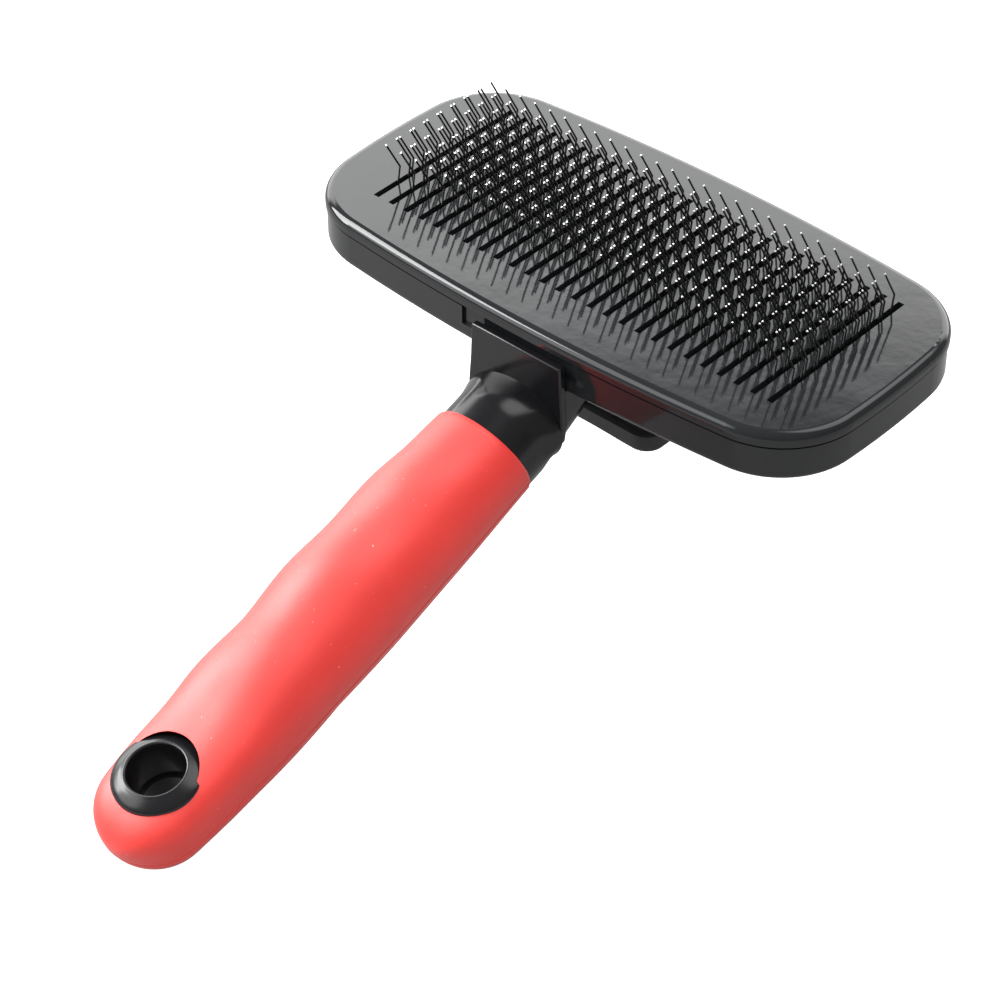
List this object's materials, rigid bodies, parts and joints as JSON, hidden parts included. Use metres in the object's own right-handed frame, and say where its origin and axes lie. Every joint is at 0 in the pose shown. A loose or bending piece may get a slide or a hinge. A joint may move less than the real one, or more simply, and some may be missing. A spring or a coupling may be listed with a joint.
{
  "type": "slicker brush",
  "caption": "Pet slicker brush: wide rounded head of kinked wire pins, slotted front plate lifted by a rear thumb button to clear hair, soft grip with hang hole.",
  "frame": {"origin": "centre of the head's front face, where the pins stand out", "axes": "+Z out of the front face along the pins, +X along the head, the handle leaves towards -Y and dips below the head"},
  "size_m": [0.13, 0.1769, 0.0741],
  "materials": {
    "head_plastic": "moulded gloss",
    "inner_plastic": "plain moulded",
    "pin_wire": "drawn wire with bright tips",
    "screw_steel": "zinc plated",
    "spring_steel": "drawn wire",
    "button_plastic": "fine spark texture",
    "grip_rubber": "soft satin",
    "eyelet_plastic": "moulded gloss",
    "handle_plastic": "moulded gloss"
  },
  "bodies": {
    "brush": {"back_shell": "head_plastic", "button_collar": "head_plastic", "pin_plate": "inner_plastic", "pin_backing": "inner_plastic", "wire_pins_left_outer": "pin_wire", "wire_pins_left_inner": "pin_wire", "wire_pins_right_inner": "pin_wire", "wire_pins_right_outer": "pin_wire", "pin_plate_screws": "screw_steel", "handle_screws": "screw_steel", "spring_seats": "screw_steel", "return_spring_left": "spring_steel", "return_spring_right": "spring_steel", "grip_sleeve": "grip_rubber", "eyelet_front": "eyelet_plastic", "eyelet_back": "eyelet_plastic", "handle_core": "handle_plastic"},
    "ejector": {"front_plate": "head_plastic", "lift_frame": "inner_plastic", "thumb_button": "button_plastic", "button_screws": "screw_steel"}
  },
  "joints": [
    {"name": "button_press", "type": "slide", "parent": "brush", "child": "ejector", "axis": [0, 0, 1], "range_m": [0, 0.01], "stiffness_N_per_m": 400, "springref_m": -0.01, "deforming": ["return_spring_left", "return_spring_right"]}
  ]
}
